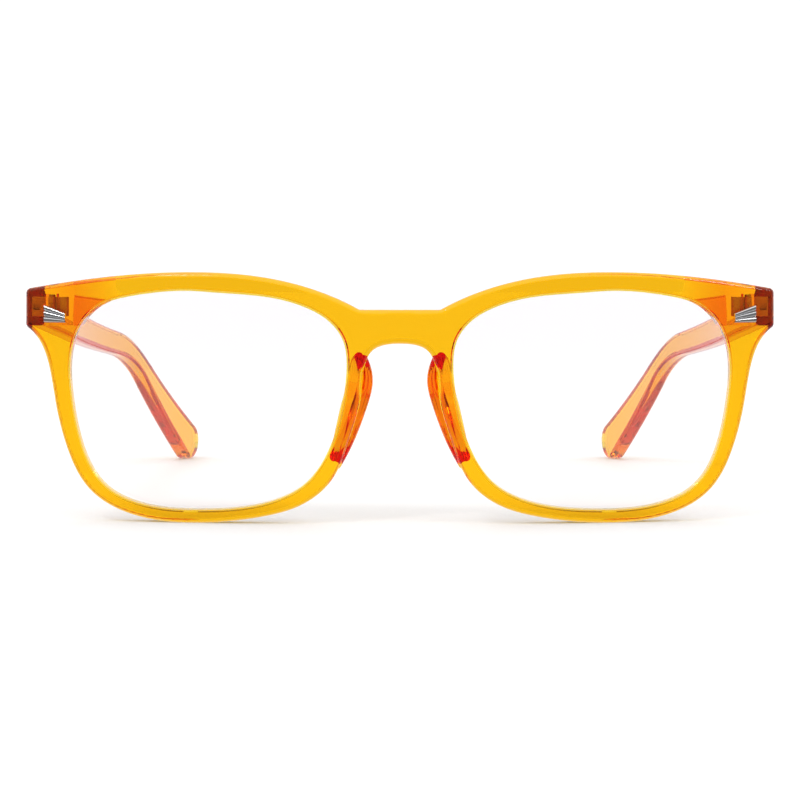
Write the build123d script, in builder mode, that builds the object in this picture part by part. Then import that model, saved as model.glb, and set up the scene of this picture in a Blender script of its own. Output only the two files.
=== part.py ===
"""Spectacles with a one-piece moulded front, clear lenses and two folding temples.

Row frame, millimetres: +X to the viewer's right as the front is looked at, +Y from the front back
along the temples, +Z up. The origin is on the table, under the middle of the open spectacles, which
stand on the bottoms of both rims and on both temple tips.

The front is a slab between two concentric spheres, so its face, the lenses and their grooves all
share one centre. The right-hand pieces are modelled and the left-hand ones are their mirror images.
"""

from math import asin, cos, radians, sin
import os

from build123d import *

# ---------------------------------------------------------------- driving dimensions (mm, degrees)
half_width = 70.0  # middle of the bridge to the outer face of a temple
face_radius = 260.0  # sphere of the front's outer face
front_thickness = 4.0  # rim and bridge, front to back
sphere_height = 23.0  # height of the spheres' centre above the table

brow_height = 46.35  # top of the rims
rim_top_width = 3.6  # plastic above the lens opening
rim_bottom_width = 2.5  # plastic below it
bridge_top = 39.45
bridge_bottom = 33.25
bridge_half_flat = 7.4  # half of the straight top edge of the bridge
front_round = 0.9  # outer edges of the front's face
back_round = 0.6  # outer edges of the front's back
notch_round = 0.5  # corner between the bridge and the brow
end_corner_round = 1.0

end_top = 43.3  # end piece, where it meets the temple
end_bottom = 36.3
end_stand = 0.67  # how far the end piece stands behind the rim's back, at its outer side
end_block_margin = 0.95  # thickened part of the end piece, inwards past the hinge leaf
end_block_slant = 9.5  # ramp that runs the thickened part out into the rim's back
end_round = 0.6

lens_thickness = 2.0
lens_setback = 1.0  # lens face behind the front's face, at the opening
lens_bite = 0.5  # how far the lens reaches into its groove
lens_bevel = 0.25  # bevel on each edge of the lens
groove_gap = 0.04  # play of the lens in its groove
outline_stations = 32  # points taken round the opening to draw the lens outline beside it

pad_thickness = 2.3
pad_lean_angle = 20.0  # lean of the nose pads seen from the front
pad_splay_angle = 18.0  # flare of the nose pads seen from above
pad_front = 1.6  # depth of the pads' front edge behind the front's foremost point
pad_back = 11.6  # depth of the pads' back edge
pad_round = 0.75

temple_thickness = 3.7
temple_waist_height = 5.3
temple_tip_height = 9.0
temple_drop_angle = 6.3  # slope of the straight run, downwards to the back
temple_run = 82.0  # straight run, from the butt joint to the ear bend
ear_bend_radius = 56.0
ear_angle = 32.0  # slope behind the ear bend
bow_start = 38.0  # how far behind the butt joint the temple starts to bow inwards
bow_radius = 350.0
temple_round = 1.0
butt_gap = 0.06  # between the end piece and the temple when open

hinge_height = 3.6  # all three knuckles together
knuckle_gap = 0.05
barrel_radius = 1.2
barrel_gap = 0.15  # free space around the barrel in the plastic
leaf_thickness = 0.8
front_leaf_reach = 3.2  # from the hinge axis inwards along the end piece
front_anchor_width = 1.2
front_anchor_depth = 1.5
temple_leaf_length = 9.0
temple_anchor_depth = 2.2  # block at the temple's front end, front to back
temple_anchor_width = 2.5
anchor_window = 1.3  # square hole through the temple's anchor
knuckle_web_start = 0.3  # behind the hinge axis, where the centre knuckle's web begins
knuckle_web_depth = 1.1
leaf_gap = 0.08  # between the metal leaves and the knuckles that turn past them
seat_gap = 0.03  # between a metal piece and the plastic it is set in

screw_radius = 0.55
screw_play = 0.03
screw_head_radius = 0.95
screw_head_height = 0.45
screw_slot_width = 0.25
screw_slot_depth = 0.22

trim_width = 4.2
trim_outer_height = 3.3
trim_inner_height = 1.7
trim_inset = 5.6  # its centre inwards from the side of the front
trim_drop = 1.15  # and below the middle of the end piece
trim_base = 0.3
trim_ridge = 0.4  # height of the three bars on their base
trim_sunk = 0.45  # base set into the front's face
trim_bars = 3
trim_bar_gap = 0.1  # on each side of a bar, as a share of its pitch
trim_taper = 15.0
trim_pin_radius = 0.4
trim_pin_length = 0.9

# ------------------------------------------------------------------------------ derived dimensions
hinge_z = (end_top + end_bottom) / 2
rim_middle = half_width / 2 + 1.3
opening_top = brow_height - rim_top_width
run_slope = radians(temple_drop_angle)
ear_slope = radians(ear_angle)
tip_radius = temple_tip_height / 2

# Temple centreline in the side view, from the butt joint: (distance back, height)
bend_start = (temple_run * cos(run_slope), hinge_z - temple_run * sin(run_slope))
bend_end = (
    bend_start[0] + ear_bend_radius * (sin(ear_slope) - sin(run_slope)),
    bend_start[1] - ear_bend_radius * (cos(run_slope) - cos(ear_slope)),
)
tip_run = (bend_end[1] - tip_radius) / sin(ear_slope)  # brings the round tip down to the table
tip_centre = (bend_end[0] + tip_run * cos(ear_slope), tip_radius)



def sag(x, z, behind=0.0):
    """How far the sphere `behind` the front's face lies behind the front's foremost point."""
    return face_radius - ((face_radius - behind) ** 2 - x**2 - (z - sphere_height) ** 2) ** 0.5


end_back = sag(half_width, hinge_z, front_thickness) + end_stand
depth = end_back + butt_gap + tip_centre[0] + tip_radius
apex_y = -depth / 2  # foremost point of the front
end_y = apex_y + end_back
temple_y = end_y + butt_gap
temple_inner_x = half_width - temple_thickness
axis_x = temple_inner_x - barrel_gap - barrel_radius
axis_y = end_y
end_block_x = axis_x - front_leaf_reach - end_block_margin
sphere_centre = (0, apex_y + face_radius, sphere_height)
temple_length = temple_run + ear_bend_radius * (ear_slope - run_slope) + tip_run + tip_radius
knuckle_height = (hinge_height - 2 * knuckle_gap) / 3
hinge_bottom = hinge_z - hinge_height / 2
hinge_top = hinge_z + hinge_height / 2
front_anchor_x = axis_x - (front_leaf_reach + barrel_radius) / 2
anchor_window_x = temple_inner_x + (leaf_thickness + temple_anchor_width) / 2
trim_centre = (half_width - trim_inset, hinge_z - trim_drop)  # in the front view

fuse_tolerance = 0.0005  # for the faces that the end piece shares with the slab
front_clearance = 10  # how far ahead of the front the front view's sketches lie
front_plane = Plane.XZ.offset(front_clearance - apex_y)  # sketches here extrude backwards
through = depth  # long enough to cut through the front


def face_y(x, z, behind=0.0):
    """Y of the sphere that lies `behind` the front's face, at a given place in the front view."""
    return apex_y + sag(x, z, behind)


def spherical_slab(outer, inner):
    """The space between the spheres that lie `outer` and `inner` behind the front's face."""
    ball = Sphere(face_radius - outer, mode=Mode.PRIVATE)
    return Pos(*sphere_centre) * (ball - Sphere(face_radius - inner, mode=Mode.PRIVATE))


# -------------------------------------------------------------------------------- front: outlines
# Points are set from the bridge, the side, the brow or the table, whichever is nearest.
opening_points = [
    (rim_middle, opening_top),
    (25.5, opening_top - 0.85),
    (15.9, opening_top - 3.55),
    (11.2, opening_top - 7.35),
    (10.0, 25.5),
    (12.3, 15.6),
    (17.3, rim_bottom_width + 5.1),
    (24.0, rim_bottom_width + 1.6),
    (rim_middle, rim_bottom_width),
    (half_width - 21.8, rim_bottom_width + 1.0),
    (half_width - 15.0, rim_bottom_width + 4.4),
    (half_width - 10.3, 16.1),
    (half_width - 8.9, 24.0),
    (half_width - 9.0, opening_top - 10.75),
    (half_width - 12.7, opening_top - 3.75),
    (half_width - 20.7, opening_top - 0.75),
]  # right-hand lens opening in the front view, anticlockwise from its top


def lens_outline(growth):
    """The lens opening's outline, moved outwards by the same amount all round."""
    opening = Spline(*opening_points, periodic=True, mode=Mode.PRIVATE)
    stations = [step / outline_stations for step in range(outline_stations)]
    outwards = [(opening % station).rotate(Axis.Z, -90) for station in stations]
    return Spline(*[(opening @ s) + out * growth for s, out in zip(stations, outwards)], periodic=True)


def lens_blank(setback, thickness, bite, bevel):
    """Lens-shaped solid: a piece of spherical shell with both edges bevelled."""
    with BuildPart() as blank:
        with BuildSketch(front_plane):
            with BuildLine():
                lens_outline(bite)
            make_face()
        extrude(amount=-through)
        add(spherical_slab(setback, setback + thickness), mode=Mode.INTERSECT)
        chamfer(blank.faces().filter_by(GeomType.SPHERE).edges(), bevel)
    return blank.part


rim_edge = [
    (half_width, end_bottom),
    (half_width - 2.6, end_bottom - 2.6),
    (half_width - 4.4, end_bottom - 7.1),
    (half_width - 5.7, 22.0),
    (half_width - 7.7, 14.0),
    (half_width - 12.1, 5.9),
    (half_width - 20.3, 1.3),
    (rim_middle + 1.0, 0),
    (25.0, 1.35),
    (17.6, 3.8),
    (12.6, 8.1),
    (9.2, 16.0),
    (7.1, 23.5),
    (6.6, 28.5),
    (5.3, 31.7),
]  # right half of the lower edge, from the end piece round the rim to the bridge
brow_edge = [
    (bridge_half_flat, bridge_top),
    (14.8, brow_height - 3.55),
    (24.8, brow_height - 1.0),
    (rim_middle + 2.4, brow_height),
    (half_width - 17.0, brow_height - 0.7),
    (half_width, end_top),
]

with BuildSketch(front_plane) as front_outline:
    with BuildLine():
        Spline(*rim_edge, (0, bridge_bottom), *[(-x, z) for x, z in reversed(rim_edge)])
        Line((-half_width, end_bottom), (-half_width, end_top))
        Spline(*[(-x, z) for x, z in reversed(brow_edge)])
        Line((-bridge_half_flat, bridge_top), (bridge_half_flat, bridge_top))
        Spline(*brow_edge)
        Line((half_width, end_top), (half_width, end_bottom))
    make_face()
    ends = front_outline.vertices().group_by(Axis.X)
    fillet(ends[0] + ends[-1], end_corner_round)
    notches = front_outline.vertices().filter_by(lambda v: abs(abs(v.X) - bridge_half_flat) < 0.01)
    fillet(notches, notch_round)

# ------------------------------------------------------------------------------ front: nose pads
# A leaning band in the front view, swept back at the splay angle and cut to a rounded side outline.
pad_nose_side = [(12.7, 7.2), (8.65, 14.2), (5.75, 21.6), (4.7, 26.8), (5.4, 30.0), (7.2, 33.0)]
pad_shift = (pad_thickness * cos(radians(pad_lean_angle)), pad_thickness * sin(radians(pad_lean_angle)))
pad_lens_side = [(x + pad_shift[0], z + pad_shift[1]) for x, z in pad_nose_side]

with BuildPart() as nose_pad:
    with BuildSketch(Plane.XZ.offset(-apex_y - pad_front)):
        with BuildLine():
            Spline(*pad_nose_side)
            Line(pad_nose_side[-1], pad_lens_side[-1])
            Spline(*pad_lens_side)
            Line(pad_lens_side[0], pad_nose_side[0])
        make_face()
    extrude(amount=through, dir=(sin(radians(pad_splay_angle)), cos(radians(pad_splay_angle)), 0))
    with BuildSketch(Plane.YZ):
        with BuildLine():
            Spline(
                (apex_y + pad_front, 9.6),
                (apex_y + 6.2, 13.0),
                (apex_y + 10.2, 18.5),
                (apex_y + pad_back, 23.5),
                (apex_y + 9.8, 29.0),
                (apex_y + 5.5, 31.3),
                (apex_y + pad_front, 31.9),
            )
            Line((apex_y + pad_front, 31.9), (apex_y + pad_front, 9.6))
        make_face()
    extrude(amount=half_width, mode=Mode.INTERSECT)
    fillet(nose_pad.edges(), pad_round)

# -------------------------------------------------------------- front: slab, end pieces, openings
with BuildPart() as end_block:
    with BuildSketch(Plane.XY.offset(end_bottom)):
        with BuildLine():
            Polyline(
                (half_width, face_y(half_width, end_bottom, front_thickness / 2)),
                (half_width, end_y),
                (end_block_x, end_y),
                (end_block_x - end_block_slant, face_y(end_block_x, end_bottom, front_thickness / 2)),
                close=True,
            )
        make_face()
    extrude(amount=brow_height - end_bottom)
    extrude(to_extrude=front_outline.sketch, amount=-through, mode=Mode.INTERSECT)
    upright_edges = end_block.edges().filter_by(Axis.Z)
    fillet(upright_edges.sort_by_distance((end_block_x, end_y, end_bottom))[0], end_round)

with BuildPart() as front_slab:
    extrude(to_extrude=front_outline.sketch, amount=-through)
    add(spherical_slab(0, front_thickness), mode=Mode.INTERSECT)
    fillet(front_slab.faces().filter_by(GeomType.SPHERE).sort_by(Axis.Y)[0].edges(), front_round)
    fillet(front_slab.faces().filter_by(GeomType.SPHERE).sort_by(Axis.Y)[-1].edges(), back_round)

with BuildPart() as opening_cutter:
    with BuildSketch(front_plane):
        with BuildLine():
            lens_outline(0)
        make_face()
    extrude(amount=-through)

# Pocket for the hinge leaf and the barrel in the end piece's back face
with BuildPart() as end_pocket:
    with BuildSketch(Plane.XY.offset(hinge_bottom - seat_gap)):
        with Locations((axis_x - front_leaf_reach - seat_gap, end_y)):
            Rectangle(
                front_leaf_reach + seat_gap,
                2 * (leaf_thickness + seat_gap),
                align=(Align.MIN, Align.CENTER),
            )
        with Locations((axis_x, end_y)):
            Circle(barrel_radius + barrel_gap)
        with Locations((front_anchor_x, end_y)):
            Rectangle(
                front_anchor_width + 2 * seat_gap,
                2 * (front_anchor_depth + leaf_thickness + seat_gap),
            )
    extrude(amount=hinge_height + 2 * seat_gap)
    with BuildSketch(Plane.XY.offset(hinge_top)):
        with Locations((axis_x, end_y)):
            Circle(barrel_radius + barrel_gap)
    extrude(amount=screw_head_height + barrel_gap)

groove = lens_blank(
    lens_setback - groove_gap, lens_thickness + 2 * groove_gap, lens_bite + groove_gap, lens_bevel
)

# ---------------------------------------------------------------------------------- trim: outline
# The trim lies in the plane that touches the front's face at the trim's centre.
trim_point = Vector(trim_centre[0], face_y(*trim_centre), trim_centre[1])
trim_normal = trim_point - Vector(*sphere_centre)
trim_plane = Plane(origin=trim_point, x_dir=Vector(0, 0, 1).cross(trim_normal), z_dir=trim_normal)
trim_floor = trim_plane.offset(-trim_sunk)


def trim_edge(share, along):
    """Point on the trim, `share` of the way from its lower to its upper edge, 0 to 1 along it."""
    height = trim_inner_height + (trim_outer_height - trim_inner_height) * along
    return (trim_width * (along - 0.5), share * height - trim_outer_height / 2)


def trim_strip(low, high):
    """Tapering strip of the trim between two shares of its height."""
    return Polyline(trim_edge(low, 0), trim_edge(low, 1), trim_edge(high, 1), trim_edge(high, 0), close=True)


with BuildPart() as trim_pocket:
    with BuildSketch(trim_floor):
        with BuildLine():
            trim_strip(0, 1)
        make_face()
        offset(amount=seat_gap, kind=Kind.INTERSECTION)
    extrude(amount=trim_sunk + trim_base + trim_ridge)
    with BuildSketch(trim_floor):
        Circle(trim_pin_radius + seat_gap)
    extrude(amount=-trim_pin_length - seat_gap)

# ------------------------------------------------------------------------------------ front: body
with BuildPart() as front_frame:
    add(front_slab.part.split(Plane.YZ).fuse(end_block.part, tol=fuse_tolerance))
    add(opening_cutter.part, mode=Mode.SUBTRACT)
    add(nose_pad.part)
    add(groove, mode=Mode.SUBTRACT)
    add(end_pocket.part, mode=Mode.SUBTRACT)
    add(trim_pocket.part, mode=Mode.SUBTRACT)
    mirror(about=Plane.YZ)

# ------------------------------------------------------------------------------------------ lenses
lens_right = lens_blank(lens_setback, lens_thickness, lens_bite, lens_bevel)

# ----------------------------------------------------------------------------------------- temples
waist = temple_waist_height / 2
tip_flare = asin((tip_radius - waist) / tip_run)  # the temple widens towards its tip


def heading(slope):
    """Direction in the side view that runs back and down at an angle."""
    return (cos(slope), -sin(slope))


def beside(point, slope, distance):
    """Point in the side view at a distance above a line of a given slope, or below it if negative."""
    return (point[0] + sin(slope) * distance, point[1] + cos(slope) * distance)


temple_side_plane = Plane(origin=(0, temple_y, 0), x_dir=(0, 1, 0), z_dir=(1, 0, 0))
root_top = (0, end_top)
root_low = (0, end_bottom)
bend_top = beside(bend_start, run_slope, waist)
bend_low = beside(bend_start, run_slope, -waist)
ear_top = beside(bend_end, ear_slope - tip_flare, waist)
ear_low = beside(bend_end, ear_slope + tip_flare, -waist)
tip_top = beside(tip_centre, ear_slope - tip_flare, tip_radius)
tip_low = beside(tip_centre, ear_slope + tip_flare, -tip_radius)
tip_end = (tip_centre[0] + tip_radius * cos(ear_slope), tip_centre[1] - tip_radius * sin(ear_slope))

bow_centre = (half_width - bow_radius, temple_y + bow_start)

# Pocket for the hinge's leaf and its anchor in the temple's inner face and front end
with BuildPart() as temple_pocket:
    with BuildSketch(Plane.XY.offset(hinge_bottom - seat_gap)):
        with Locations((temple_inner_x - seat_gap, temple_y - seat_gap)):
            for width, length in (
                (leaf_thickness, temple_leaf_length),
                (temple_anchor_width, temple_anchor_depth),
            ):
                Rectangle(width + 2 * seat_gap, leaf_gap + length + 2 * seat_gap, align=Align.MIN)
    extrude(amount=hinge_height + 2 * seat_gap)

with BuildPart() as temple_right:
    with BuildSketch(temple_side_plane):
        with BuildLine():
            Line(root_low, root_top)
            Line(root_top, bend_top)
            Spline(
                bend_top,
                ear_top,
                tangents=(Vector(*bend_top) - Vector(*root_top), heading(ear_slope - tip_flare)),
            )
            Line(ear_top, tip_top)
            ThreePointArc(tip_top, tip_end, tip_low)
            Line(tip_low, ear_low)
            Spline(
                bend_low,
                ear_low,
                tangents=(Vector(*bend_low) - Vector(*root_low), heading(ear_slope + tip_flare)),
            )
            Line(bend_low, root_low)
        make_face()
    extrude(amount=half_width)
    with BuildSketch(Plane.XY):
        with BuildLine():
            Line((half_width, temple_y), (half_width, temple_y + bow_start))
            outer_bow = CenterArc(bow_centre, bow_radius, 0, 30)
            inner_bow = CenterArc(bow_centre, bow_radius - temple_thickness, 0, 30)
            Line(outer_bow @ 1, inner_bow @ 1)
            Line((temple_inner_x, temple_y + bow_start), (temple_inner_x, temple_y))
            Line((temple_inner_x, temple_y), (half_width, temple_y))
        make_face()
    extrude(amount=brow_height, mode=Mode.INTERSECT)
    root_face = temple_right.faces().sort_by(Axis.Y)[0]
    fillet(temple_right.edges() - root_face.edges(), temple_round)
    add(temple_pocket.part, mode=Mode.SUBTRACT)

# ------------------------------------------------------------------------------------------ hinges
with BuildPart() as front_hinge_right:
    with BuildSketch(Plane.XY.offset(hinge_bottom)):
        with Locations((axis_x - front_leaf_reach, end_y)):
            Rectangle(front_leaf_reach, leaf_thickness, align=(Align.MIN, Align.MAX))
        with Locations((front_anchor_x, end_y)):
            Rectangle(
                front_anchor_width,
                leaf_thickness + front_anchor_depth,
                align=(Align.CENTER, Align.MAX),
            )
        with Locations((axis_x, axis_y)):
            Circle(barrel_radius)
    extrude(amount=hinge_height)
    with Locations((axis_x, axis_y, hinge_z)):
        Cylinder(barrel_radius + leaf_gap, knuckle_height + 2 * knuckle_gap, mode=Mode.SUBTRACT)
        Cylinder(screw_radius + screw_play, hinge_height, mode=Mode.SUBTRACT)

with BuildPart() as temple_hinge_right:
    with BuildSketch(Plane.XY.offset(hinge_bottom)):
        with Locations((temple_inner_x, temple_y + leaf_gap)):
            Rectangle(leaf_thickness, temple_leaf_length, align=Align.MIN)
            Rectangle(temple_anchor_width, temple_anchor_depth, align=Align.MIN)
    extrude(amount=hinge_height)
    with BuildSketch(Plane.XY.offset(hinge_z - knuckle_height / 2)):
        with Locations((axis_x, axis_y)):
            Circle(barrel_radius)
        with Locations((axis_x + knuckle_web_start, temple_y + leaf_gap)):
            Rectangle(
                temple_inner_x - axis_x - knuckle_web_start + leaf_thickness / 2,
                knuckle_web_depth,
                align=Align.MIN,
            )
    extrude(amount=knuckle_height)
    with Locations((axis_x, axis_y, hinge_z)):
        Cylinder(screw_radius + screw_play, hinge_height, mode=Mode.SUBTRACT)
    with Locations((anchor_window_x, temple_y, hinge_z)):
        Box(anchor_window, 2 * temple_anchor_depth, anchor_window, mode=Mode.SUBTRACT)

# ------------------------------------------------------------------------------------------ screws
with BuildPart() as hinge_screw_right:
    with Locations((axis_x, axis_y, hinge_bottom)):
        Cylinder(screw_radius, hinge_height, align=(Align.CENTER, Align.CENTER, Align.MIN))
    with Locations((axis_x, axis_y, hinge_top)):
        Cylinder(screw_head_radius, screw_head_height, align=(Align.CENTER, Align.CENTER, Align.MIN))
    fillet(hinge_screw_right.edges().group_by(Axis.Z)[-1], screw_head_height / 3)
    with Locations((axis_x, axis_y, hinge_top + screw_head_height)):
        Box(2 * screw_head_radius, screw_slot_width, 2 * screw_slot_depth, mode=Mode.SUBTRACT)

# ------------------------------------------------------------------------------------- trim inserts
with BuildPart() as trim_right:
    with BuildSketch(trim_floor):
        with BuildLine():
            trim_strip(0, 1)
        make_face()
    extrude(amount=trim_base)
    for bar in range(trim_bars):
        with BuildSketch(trim_floor.offset(trim_base)):
            with BuildLine():
                trim_strip((bar + trim_bar_gap) / trim_bars, (bar + 1 - trim_bar_gap) / trim_bars)
            make_face()
        extrude(amount=trim_ridge, taper=trim_taper)
    with BuildSketch(trim_floor):
        Circle(trim_pin_radius)
    extrude(amount=-trim_pin_length)

# ------------------------------------------------------------------------------------------ export
os.makedirs("parts", exist_ok=True)
front_frame.part.label = "front_frame"
export_step(front_frame.part, "parts/front_frame.step")

right_hand_pieces = {
    "lens": lens_right,
    "temple": temple_right.part,
    "front_hinge": front_hinge_right.part,
    "temple_hinge": temple_hinge_right.part,
    "hinge_screw": hinge_screw_right.part,
    "trim": trim_right.part,
}
for name, piece in right_hand_pieces.items():
    for side, solid in (("right", piece), ("left", mirror(piece, about=Plane.YZ))):
        solid.label = f"{name}_{side}"
        export_step(solid, f"parts/{name}_{side}.step")

print(f"depth {depth:.2f}, temple length {temple_length:.1f}, hinge axis at x {axis_x:.2f} y {axis_y:.2f}")
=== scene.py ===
"""Looks of a pair of amber see-through spectacles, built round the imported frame.

Every length is in metres, in the frame's own axes: +X to the viewer's right as the front is looked
at, +Y from the front back along the temples, +Z up. The frame supplies the shapes and this script
supplies the finishes, the fine metalwork, the studio and the camera.
"""

from __future__ import annotations

import logging
import math
from dataclasses import dataclass
from enum import Enum

import bmesh
import bpy
from mathutils import Matrix, Vector

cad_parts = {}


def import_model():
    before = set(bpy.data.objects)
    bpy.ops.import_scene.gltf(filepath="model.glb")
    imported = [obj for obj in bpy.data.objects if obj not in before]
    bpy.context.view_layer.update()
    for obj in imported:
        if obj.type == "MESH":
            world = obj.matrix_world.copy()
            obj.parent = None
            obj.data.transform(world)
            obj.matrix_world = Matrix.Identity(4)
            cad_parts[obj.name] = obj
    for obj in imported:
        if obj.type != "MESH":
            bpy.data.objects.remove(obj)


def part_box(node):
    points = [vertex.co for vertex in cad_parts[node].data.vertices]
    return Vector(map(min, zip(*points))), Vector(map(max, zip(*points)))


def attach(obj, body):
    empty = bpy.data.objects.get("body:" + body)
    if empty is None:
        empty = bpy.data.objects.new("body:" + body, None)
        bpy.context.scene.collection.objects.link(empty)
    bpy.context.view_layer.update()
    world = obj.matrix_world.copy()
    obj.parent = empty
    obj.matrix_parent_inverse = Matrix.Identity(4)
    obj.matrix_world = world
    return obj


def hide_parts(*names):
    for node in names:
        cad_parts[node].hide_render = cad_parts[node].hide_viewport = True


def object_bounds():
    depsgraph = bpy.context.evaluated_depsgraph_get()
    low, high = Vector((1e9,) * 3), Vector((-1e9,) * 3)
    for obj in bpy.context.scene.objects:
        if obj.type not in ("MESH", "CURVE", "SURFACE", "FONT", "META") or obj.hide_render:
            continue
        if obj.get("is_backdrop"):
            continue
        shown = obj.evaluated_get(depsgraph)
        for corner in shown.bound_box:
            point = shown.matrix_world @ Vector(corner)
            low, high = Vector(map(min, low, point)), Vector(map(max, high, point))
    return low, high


log = logging.getLogger("spectacles")

MM = 0.001


# ------------------------------------------------------------------------------------------- colour
def srgb(hex_colour: str) -> tuple[float, float, float, float]:
    """Turn an sRGB hex colour into the linear colour that shaders use.

    Args:
        hex_colour: Six hex digits, with or without a leading hash.

    Returns:
        Linear red, green and blue, and full opacity.
    """
    digits = hex_colour.lstrip("#")
    channels = [int(digits[i : i + 2], 16) / 255 for i in (0, 2, 4)]
    linear = [c / 12.92 if c <= 0.04045 else ((c + 0.055) / 1.055) ** 2.4 for c in channels]
    return (linear[0], linear[1], linear[2], 1.0)


def add_node(
    tree: bpy.types.NodeTree,
    kind: str,
    inputs: dict[str | int, object] | None = None,
    **settings: object,
) -> bpy.types.Node:
    """Add a shader node, set its properties, and set or link its inputs.

    Args:
        tree: Node tree that gets the node.
        kind: Blender's type name of the node.
        inputs: Value, or output socket to link, for each named or numbered input.
        **settings: Properties of the node itself.

    Returns:
        The new node.
    """
    node = tree.nodes.new(kind)
    for name, value in settings.items():
        setattr(node, name, value)
    for name, value in (inputs or {}).items():
        if isinstance(value, bpy.types.NodeSocket):
            tree.links.new(value, node.inputs[name])
        else:
            node.inputs[name].default_value = value
    return node


def new_material(name: str) -> tuple[bpy.types.Material, bpy.types.NodeTree]:
    """Make an empty node material.

    Args:
        name: Name of the material.

    Returns:
        The material and its cleared node tree.
    """
    material = bpy.data.materials.new(name)
    material.use_nodes = True
    material.node_tree.nodes.clear()
    return material, material.node_tree


# ----------------------------------------------------------------------------------------- finishes
@dataclass(frozen=True)
class AmberPlastic:
    """Moulded see-through plastic, dyed amber right through and polished.

    The dye swallows blue in the first millimetre and green over some ten, so thin stretches look
    golden, thick ones orange, and the temple seen along its length dark red-brown.
    """

    name: str = "amber_moulded_plastic"
    dye_colour: tuple[float, float, float] = (0.9935, 0.887, 0.0)
    dye_density: float = 1400.0  # per metre
    ior: float = 1.49
    roughness: float = 0.02
    flow_scale: float = 1 / (9 * MM)  # mould-flow waviness, about 9 mm long
    flow_height: float = 0.02 * MM
    haze_scale: float = 1 / (1.6 * MM)  # patches left by polishing

    def make(self) -> bpy.types.Material:
        """Build the material.

        Returns:
            See-through plastic with a dyed body and a faintly uneven polish.
        """
        material, tree = new_material(self.name)
        place = add_node(tree, "ShaderNodeTexCoord").outputs["Object"]
        flow = add_node(
            tree, "ShaderNodeTexNoise", {"Vector": place, "Scale": self.flow_scale, "Detail": 1.0}
        )
        haze = add_node(
            tree, "ShaderNodeTexNoise", {"Vector": place, "Scale": self.haze_scale, "Detail": 4.0}
        )
        polish = add_node(
            tree,
            "ShaderNodeMapRange",
            {
                "Value": haze.outputs["Fac"],
                "From Min": 0.35,
                "From Max": 0.75,
                "To Min": self.roughness * 0.5,
                "To Max": self.roughness * 2.0,
            },
        )
        waves = add_node(
            tree,
            "ShaderNodeBump",
            {"Height": flow.outputs["Fac"], "Distance": self.flow_height, "Strength": 0.5},
        )
        tint = add_node(
            tree,
            "ShaderNodeMix",
            {"Factor": haze.outputs["Fac"], 6: srgb("FFFFFF"), 7: srgb("FFF8EC")},
            data_type="RGBA",
        )
        surface = add_node(
            tree,
            "ShaderNodeBsdfPrincipled",
            {
                "Base Color": tint.outputs[2],
                "Roughness": polish.outputs["Result"],
                "Normal": waves.outputs["Normal"],
                "IOR": self.ior,
                "Transmission Weight": 1.0,
            },
        )
        dye = add_node(
            tree,
            "ShaderNodeVolumeAbsorption",
            {"Color": (*self.dye_colour, 1.0), "Density": self.dye_density},
        )
        add_node(
            tree,
            "ShaderNodeOutputMaterial",
            {"Surface": surface.outputs["BSDF"], "Volume": dye.outputs["Volume"]},
        )
        return material


@dataclass(frozen=True)
class CoatedLens:
    """Clear plastic lens, coated against blue light.

    The hard coat's reflection is blue-violet, which shows along the lens edge and in highlights.
    """

    name: str = "coated_polycarbonate_lens"
    ior: float = 1.58
    coat_thickness: float = 340.0  # nanometres
    coat_ior: float = 1.38
    smear_scale: float = 1 / (14 * MM)
    smear_roughness: float = 0.012

    def make(self) -> bpy.types.Material:
        """Build the material.

        Returns:
            Clear plastic with an interference coating and faint wiping marks.
        """
        material, tree = new_material(self.name)
        place = add_node(tree, "ShaderNodeTexCoord").outputs["Object"]
        smear = add_node(
            tree,
            "ShaderNodeTexNoise",
            {"Vector": place, "Scale": self.smear_scale, "Detail": 3.0, "Distortion": 0.8},
        )
        wiped = add_node(
            tree,
            "ShaderNodeMapRange",
            {
                "Value": smear.outputs["Fac"],
                "From Min": 0.5,
                "From Max": 0.8,
                "To Min": 0.0,
                "To Max": self.smear_roughness,
            },
        )
        surface = add_node(
            tree,
            "ShaderNodeBsdfPrincipled",
            {
                "Base Color": srgb("FDFDFF"),
                "Roughness": wiped.outputs["Result"],
                "IOR": self.ior,
                "Transmission Weight": 1.0,
                "Thin Film Thickness": self.coat_thickness,
                "Thin Film IOR": self.coat_ior,
            },
        )
        add_node(tree, "ShaderNodeOutputMaterial", {"Surface": surface.outputs["BSDF"]})
        return material


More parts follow.
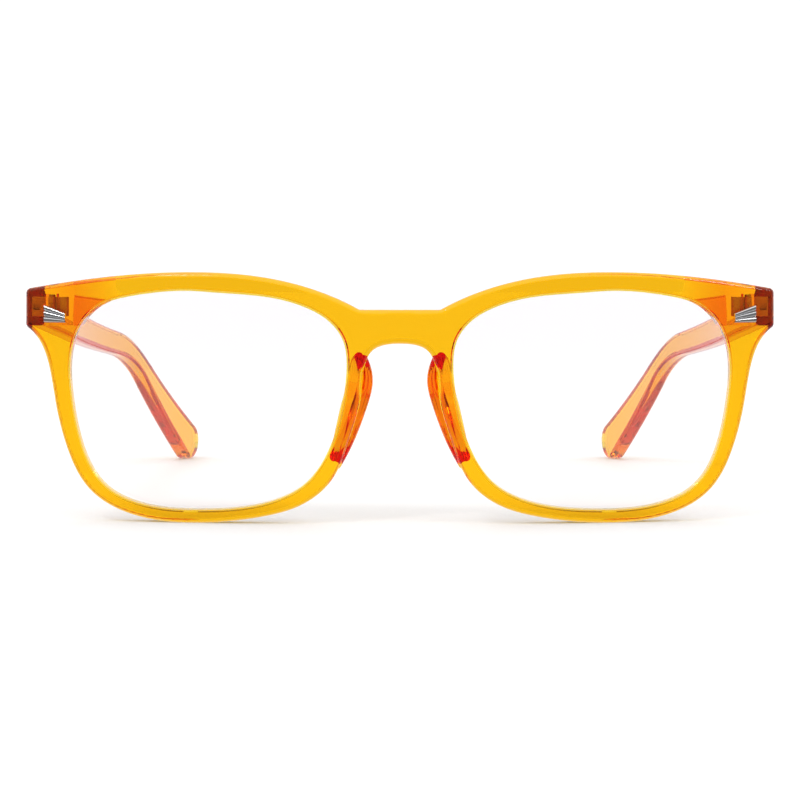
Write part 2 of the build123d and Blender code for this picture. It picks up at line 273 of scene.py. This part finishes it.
@dataclass(frozen=True)
class Metal:
    """A metal whose surface was left by a brush, a lathe or a polishing wheel.

    Fine parallel marks stretch along one axis, and the tone drifts a little between them.
    """

    name: str
    light: str
    dark: str
    roughness: float
    mark_width: float  # metres, across one mark
    mark_stretch: float  # length of a mark over its width
    mark_height: float

    def make(self) -> bpy.types.Material:
        """Build the material.

        Returns:
            Metal with marks along X.
        """
        material, tree = new_material(self.name)
        place = add_node(tree, "ShaderNodeTexCoord").outputs["Object"]
        stretched = add_node(
            tree,
            "ShaderNodeMapping",
            {"Vector": place, "Scale": (1 / self.mark_stretch, 1.0, 1.0)},
        )
        marks = add_node(
            tree,
            "ShaderNodeTexNoise",
            {"Vector": stretched.outputs["Vector"], "Scale": 1 / self.mark_width, "Detail": 3.0},
        )
        tone = add_node(
            tree,
            "ShaderNodeMix",
            {"Factor": marks.outputs["Fac"], 6: srgb(self.dark), 7: srgb(self.light)},
            data_type="RGBA",
        )
        sheen = add_node(
            tree,
            "ShaderNodeMapRange",
            {
                "Value": marks.outputs["Fac"],
                "From Min": 0.3,
                "From Max": 0.7,
                "To Min": self.roughness * 0.7,
                "To Max": self.roughness * 1.3,
            },
        )
        ridges = add_node(
            tree,
            "ShaderNodeBump",
            {"Height": marks.outputs["Fac"], "Distance": self.mark_height, "Strength": 0.6},
        )
        surface = add_node(
            tree,
            "ShaderNodeBsdfPrincipled",
            {
                "Base Color": tone.outputs[2],
                "Metallic": 1.0,
                "Roughness": sheen.outputs["Result"],
                "Normal": ridges.outputs["Normal"],
            },
        )
        add_node(tree, "ShaderNodeOutputMaterial", {"Surface": surface.outputs["BSDF"]})
        return material


# Bright plating: nearly a mirror, with faint lengthways polishing lines.
BRIGHT_TRIM = Metal("polished_rhodium_trim", "F4F4F6", "DEDEE1", 0.12, 0.06 * MM, 12.0, 0.0004 * MM)
# Hinge metal, stamped: satin, a little warm.
NICKEL_HINGE = Metal("stamped_nickel_silver", "E2DFD8", "BDB9B2", 0.38, 0.08 * MM, 6.0, 0.006 * MM)
# Screw steel, turned: marks of the lathe tool show as a fine sheen.
TURNED_SCREW = Metal("turned_stainless_screw", "C4C4C6", "8F8F92", 0.22, 0.05 * MM, 4.0, 0.004 * MM)


# --------------------------------------------------------------------------------------- assemblies
class Side(Enum):
    """Which side a piece is on, as the front is looked at."""

    RIGHT = "right"
    LEFT = "left"


def dress(node: str, material: bpy.types.Material) -> bpy.types.Object:
    """Give a frame node its finish.

    Args:
        node: Name of the node.
        material: Finish of the whole node.

    Returns:
        The node's object.
    """
    piece = bpy.data.objects[node]
    piece.data.materials.clear()
    piece.data.materials.append(material)
    return piece


@dataclass
class Front:
    """Moulded front with its two lenses."""

    plastic: bpy.types.Material
    glass: bpy.types.Material

    def build(self) -> list[bpy.types.Object]:
        """Dress the front and the lenses.

        Returns:
            The dressed pieces.
        """
        pieces = [dress("front_frame", self.plastic)]
        pieces += [dress(f"lens_{side.value}", self.glass) for side in Side]
        return pieces


@dataclass
class TempleArm:
    """Moulded temple with the metal half of its hinge."""

    side: Side
    plastic: bpy.types.Material
    nickel: bpy.types.Material

    def build(self) -> list[bpy.types.Object]:
        """Dress the temple and its hinge leaf.

        Returns:
            The dressed pieces.
        """
        return [
            dress(f"temple_{self.side.value}", self.plastic),
            dress(f"temple_hinge_{self.side.value}", self.nickel),
        ]


@dataclass
class CornerTrim:
    """Cast trim of one end piece: a plate with three rounded bars that fan outwards, and its pin.

    It is drawn flat, with U outwards along the plate, V up and W away from the plate's underside,
    and then laid on the plane that touches the front's curved face at the trim's middle.
    """

    side: Side
    bright: bpy.types.Material
    face_radius: float = 260 * MM  # sphere of the front's face
    face_height: float = 23 * MM  # height of that sphere's centre
    width: float = 4.2 * MM
    outer_height: float = 3.3 * MM
    inner_height: float = 1.7 * MM
    plate: float = 0.3 * MM
    ridge: float = 0.4 * MM
    sunk: float = 0.45 * MM
    pin_radius: float = 0.4 * MM
    pin_length: float = 0.9 * MM
    bars: int = 3
    bar_gap: float = 0.11  # on each side of a bar, as a share of its pitch
    bar_rounding: float = 44.0  # percent of a bar's width, on each side
    plate_rounding: float = 4.0  # the same, for the plate
    bar_steps: int = 6  # segments of a rounding
    plate_steps: int = 2
    bar_seat: float = 0.9  # height at which the bars start, as a share of the plate's
    pin_taper: float = 0.8  # radius of the pin's tip over its own
    pin_sides: int = 32
    crease: float = 35.0  # degrees, above which an edge is shaded sharp

    def corner(self, share: float, along: float, height: float) -> Vector:
        """Find a point of the flat trim.

        Args:
            share: Part of the way from its lower to its upper edge.
            along: 0 at the end towards the lens, 1 at the outer end.
            height: Distance above the plate's underside.

        Returns:
            The point in U, V and W.
        """
        tall = self.inner_height + (self.outer_height - self.inner_height) * along
        return Vector((self.width * (along - 0.5), share * tall - self.outer_height / 2, height))

    def strip(
        self,
        shape: bmesh.types.BMesh,
        low: float,
        high: float,
        floor: float,
        thickness: float,
        rounding: float,
        steps: int,
    ) -> None:
        """Add a tapering strip with its long upper edges rounded.

        Args:
            shape: Mesh that gets the strip.
            low: Its lower edge, as a share of the trim's height.
            high: Its upper edge.
            floor: Height at which it stands.
            thickness: Its own height.
            rounding: Width of the rounding along its long upper edges, in percent of its own.
            steps: Segments of the rounding.
        """
        around = ((low, 0.0), (low, 1.0), (high, 1.0), (high, 0.0))
        base = shape.faces.new([shape.verts.new(self.corner(v, u, floor)) for v, u in around])
        raised = bmesh.ops.extrude_face_region(shape, geom=[base], use_keep_orig=True)["geom"]
        tops = [item for item in raised if isinstance(item, bmesh.types.BMVert)]
        bmesh.ops.translate(shape, verts=tops, vec=(0.0, 0.0, thickness))
        rims = [item for item in raised if isinstance(item, bmesh.types.BMEdge)]
        long_rims = [rim for rim in rims if abs(rim.verts[0].co.x - rim.verts[1].co.x) > self.width / 2]
        bmesh.ops.bevel(
            shape,
            geom=long_rims,
            offset=rounding,
            offset_type="PERCENT",
            affect="EDGES",
            segments=steps,
            profile=0.5,
            material=-1,
        )

    def draw(self) -> bmesh.types.BMesh:
        """Draw the flat trim.

        Returns:
            Plate, bars and pin in U, V and W.
        """
        shape = bmesh.new()
        self.strip(shape, 0.0, 1.0, 0.0, self.plate, self.plate_rounding, self.plate_steps)
        seat = self.plate * self.bar_seat
        for bar in range(self.bars):
            low = (bar + self.bar_gap) / self.bars
            high = (bar + 1 - self.bar_gap) / self.bars
            self.strip(shape, low, high, seat, self.ridge, self.bar_rounding, self.bar_steps)
        sink = Matrix.Translation((0.0, 0.0, -self.pin_length / 2))
        bmesh.ops.create_cone(
            shape,
            cap_ends=True,
            segments=self.pin_sides,
            radius1=self.pin_radius * self.pin_taper,
            radius2=self.pin_radius,
            depth=self.pin_length,
            matrix=sink,
        )
        return shape

    def placement(self) -> Matrix:
        """Work out where the right-hand trim lies.

        Returns:
            The turn and shift from U, V and W to the frame's axes.
        """
        low, high = (Vector(corner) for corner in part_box(f"trim_{Side.RIGHT.value}"))
        across = (low.x + high.x) / 2 / self.face_radius
        up = ((low.z + high.z) / 2 - self.face_height) / self.face_radius
        outwards = Vector((across, -math.sqrt(1 - across**2 - up**2), up))
        along = Vector((0.0, 0.0, 1.0)).cross(outwards).normalized()
        upwards = outwards.cross(along)
        pin_end = self.pin_radius * math.sqrt(1 - outwards.y**2)
        deep = (self.sunk + self.pin_length) * -outwards.y + pin_end
        middle = Vector((low.x + high.x, 2 * (high.y - deep), low.z + high.z)) / 2
        turn = Matrix((along, upwards, outwards)).transposed().to_4x4()
        return Matrix.Translation(middle - outwards * self.sunk) @ turn

    def build(self) -> list[bpy.types.Object]:
        """Make the trim and let it stand for the plain one.

        Returns:
            The trim.
        """
        shape = self.draw()
        shape.transform(self.placement())
        if self.side is Side.LEFT:
            bmesh.ops.scale(shape, vec=(-1.0, 1.0, 1.0), verts=shape.verts)
        bmesh.ops.recalc_face_normals(shape, faces=shape.faces)
        for face in shape.faces:
            face.smooth = True
        name = f"trim_bars_{self.side.value}"
        mesh = bpy.data.meshes.new(name)
        shape.to_mesh(mesh)
        shape.free()
        mesh.materials.append(self.bright)
        mesh.set_sharp_from_angle(angle=math.radians(self.crease))
        trim = bpy.data.objects.new(name, mesh)
        bpy.context.collection.objects.link(trim)
        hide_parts(f"trim_{self.side.value}")
        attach(trim, "front")
        return [trim]


@dataclass
class CornerMetal:
    """Hinge half and screw of one end piece."""

    side: Side
    nickel: bpy.types.Material
    steel: bpy.types.Material

    def build(self) -> list[bpy.types.Object]:
        """Dress the front's half of the hinge and its screw.

        Returns:
            The dressed pieces.
        """
        return [
            dress(f"front_hinge_{self.side.value}", self.nickel),
            dress(f"hinge_screw_{self.side.value}", self.steel),
        ]


# ------------------------------------------------------------------------------------------- studio
@dataclass(frozen=True)
class SoftBox:
    """Rectangular soft box that faces the spectacles."""

    name: str
    place: tuple[float, float, float]
    size: tuple[float, float]
    power: float  # watts

    def hang(self) -> None:
        """Make the light and turn it to the spectacles."""
        data = bpy.data.lights.new(self.name, "AREA")
        data.shape = "RECTANGLE"
        data.size, data.size_y = self.size
        data.energy = self.power
        light = bpy.data.objects.new(self.name, data)
        bpy.context.collection.objects.link(light)
        light.location = self.place
        aim = Vector((0.0, 0.0, 0.02)) - light.location
        light.rotation_euler = aim.to_track_quat("-Z", "Y").to_euler()


KEY_BOX = SoftBox("key_box", (-0.35, -0.55, 0.75), (0.16, 0.16), 1.0)
FILL_BOX = SoftBox("fill_box", (0.5, -0.45, 0.55), (0.12, 0.16), 0.5)


@dataclass
class Studio:
    """White sweep, soft boxes and the camera."""

    eye_height: float = 43.5 * MM
    eye_distance: float = 376.0 * MM  # from the foremost point of the front
    aim_height: float = 23.0 * MM
    focal_length: float = 92.8  # millimetres
    sensor_width: float = 36.0  # millimetres
    floor_size: float = 60.0
    dark_side: float = 0.16  # brightness of the room in front of the table, in reflections
    white: float = 1.1  # brightness of the white sweep, seen directly or through the plastic
    bounces: int = 48  # light turns many times inside the plastic

    def camera(self, front_y: float) -> None:
        """Place the camera square to the front, a little above the middle of the lenses.

        Args:
            front_y: Y of the foremost point of the front.
        """
        data = bpy.data.cameras.new("camera")
        data.lens = self.focal_length
        data.sensor_width = self.sensor_width
        data.clip_start = 0.01
        camera = bpy.data.objects.new("camera", data)
        bpy.context.collection.objects.link(camera)
        camera.location = (0.0, front_y - self.eye_distance, self.eye_height)
        aim = Vector((0.0, front_y, self.aim_height)) - camera.location
        camera.rotation_euler = aim.to_track_quat("-Z", "Y").to_euler()
        bpy.context.scene.camera = camera

    def floor(self) -> None:
        """Lay the pale floor."""
        mesh = bpy.data.meshes.new("floor")
        shape = bmesh.new()
        bmesh.ops.create_grid(shape, x_segments=1, y_segments=1, size=self.floor_size / 2)
        shape.to_mesh(mesh)
        shape.free()
        floor = bpy.data.objects.new("floor", mesh)
        bpy.context.collection.objects.link(floor)
        material, tree = new_material("white_laminate_sweep")
        place = add_node(tree, "ShaderNodeTexCoord").outputs["Object"]
        grain = add_node(tree, "ShaderNodeTexNoise", {"Vector": place, "Scale": 900.0, "Detail": 2.0})
        tone = add_node(
            tree,
            "ShaderNodeMix",
            {"Factor": grain.outputs["Fac"], 6: srgb("F4F4F4"), 7: srgb("FAFAFA")},
            data_type="RGBA",
        )
        surface = add_node(
            tree,
            "ShaderNodeBsdfPrincipled",
            {
                "Base Color": tone.outputs[2],
                "Roughness": 0.6,
                "Specular IOR Level": 0.1,
                "Emission Color": srgb("FFFFFF"),
                "Emission Strength": 0.06,
            },
        )
        add_node(tree, "ShaderNodeOutputMaterial", {"Surface": surface.outputs["BSDF"]})
        mesh.materials.append(material)
        floor.visible_glossy = False  # the polished plastic mirrors the dim room, not the table
        floor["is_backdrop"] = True

    def world(self) -> None:
        """Surround the set with white, and leave the unlit side of the room dark in reflections.

        A white room shows directly and through the plastic. Polished surfaces reflect another
        room: dark in front, at eye level and below, and bright overhead and behind.
        """
        world = bpy.data.worlds.new("white_room")
        world.use_nodes = True
        bpy.context.scene.world = world
        tree = world.node_tree
        tree.nodes.clear()
        direction = add_node(tree, "ShaderNodeTexCoord").outputs["Generated"]
        parts = add_node(tree, "ShaderNodeSeparateXYZ", {"Vector": direction})
        ahead = add_node(
            tree,
            "ShaderNodeMapRange",
            {
                "Value": parts.outputs["Y"],
                "From Min": -0.75,
                "From Max": 0.25,
                "To Min": self.dark_side,
                "To Max": 1.0,
            },
            interpolation_type="SMOOTHSTEP",
        )
        overhead = add_node(
            tree,
            "ShaderNodeMapRange",
            {"Value": parts.outputs["Z"], "From Min": 0.35, "From Max": 0.75},
            interpolation_type="SMOOTHSTEP",
        )
        room = add_node(
            tree,
            "ShaderNodeMath",
            {0: ahead.outputs["Result"], 1: overhead.outputs["Result"]},
            operation="MAXIMUM",
        )
        path = add_node(tree, "ShaderNodeLightPath")
        seen = add_node(
            tree,
            "ShaderNodeMix",
            {0: path.outputs["Is Glossy Ray"], 2: self.white, 3: room.outputs["Value"]},
            data_type="FLOAT",
        )
        glow = add_node(
            tree,
            "ShaderNodeBackground",
            {"Color": srgb("FFFFFF"), "Strength": seen.outputs[0]},
        )
        add_node(tree, "ShaderNodeOutputWorld", {"Surface": glow.outputs["Background"]})

    def build(self, front_y: float) -> None:
        """Set up the whole studio.

        Args:
            front_y: Y of the foremost point of the front.
        """
        self.camera(front_y)
        self.floor()
        self.world()
        for box in (KEY_BOX, FILL_BOX):
            box.hang()
        scene = bpy.context.scene
        scene.view_settings.view_transform = "Standard"
        scene.view_settings.look = "None"
        scene.cycles.max_bounces = self.bounces
        scene.cycles.transmission_bounces = self.bounces
        scene.cycles.glossy_bounces = self.bounces
        scene.cycles.transparent_max_bounces = 12


def main() -> None:
    """Load the frame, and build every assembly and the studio."""
    logging.basicConfig(level=logging.INFO, format="%(name)s: %(message)s")
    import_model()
    cad_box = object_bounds()
    amber = AmberPlastic().make()
    clear = CoatedLens().make()
    nickel = NICKEL_HINGE.make()
    steel = TURNED_SCREW.make()
    bright = BRIGHT_TRIM.make()
    assemblies = [Front(amber, clear)]
    assemblies += [TempleArm(side, amber, nickel) for side in Side]
    assemblies += [CornerMetal(side, nickel, steel) for side in Side]
    assemblies += [CornerTrim(side, bright) for side in Side]
    for assembly in assemblies:
        for piece in assembly.build():
            log.info("%s: %d faces", piece.name, len(piece.data.polygons))
    Studio().build(front_y=cad_box[0][1])


if __name__ == "__main__":
    main()
